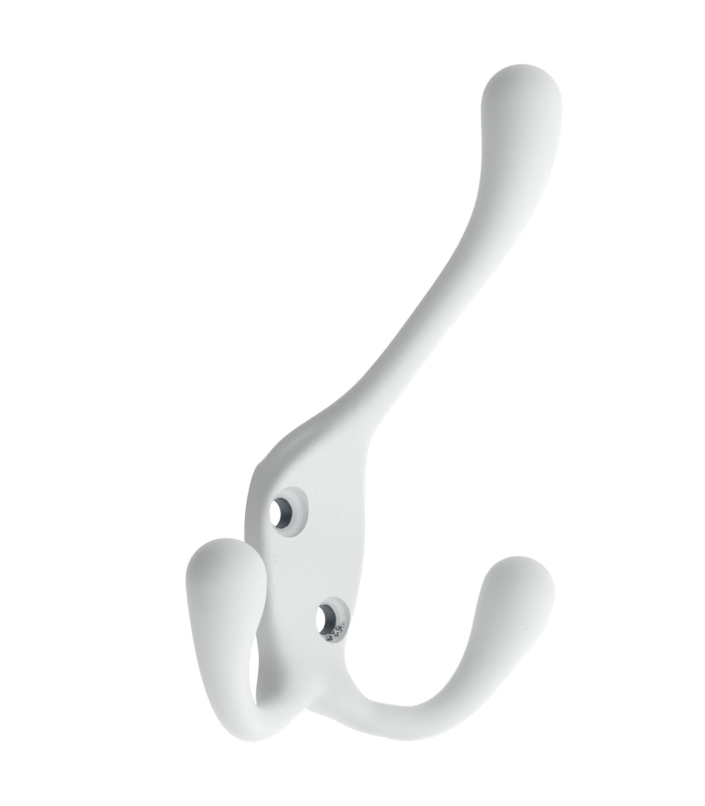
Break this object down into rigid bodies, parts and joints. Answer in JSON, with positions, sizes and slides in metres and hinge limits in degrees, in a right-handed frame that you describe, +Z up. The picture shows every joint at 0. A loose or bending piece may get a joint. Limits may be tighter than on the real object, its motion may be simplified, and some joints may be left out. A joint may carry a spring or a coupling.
{
  "type": "hat and coat hook",
  "caption": "Wall-mounted cast metal hook in white: a long upper hat prong, a pair of lower coat prongs with round ends, and a flat screw plate.",
  "frame": {"origin": "on the wall plane, on the hook's mirror plane, midway in height between the two screw holes", "axes": "+Z up the wall, -Y out of the wall towards the room, +X to the right of a person facing the wall"},
  "size_m": [0.0774, 0.0601, 0.1086],
  "materials": {
    "white_coat": "satin white powder coat"
  },
  "bodies": {
    "root": {"coat_hook": "white_coat"}
  },
  "joints": []
}
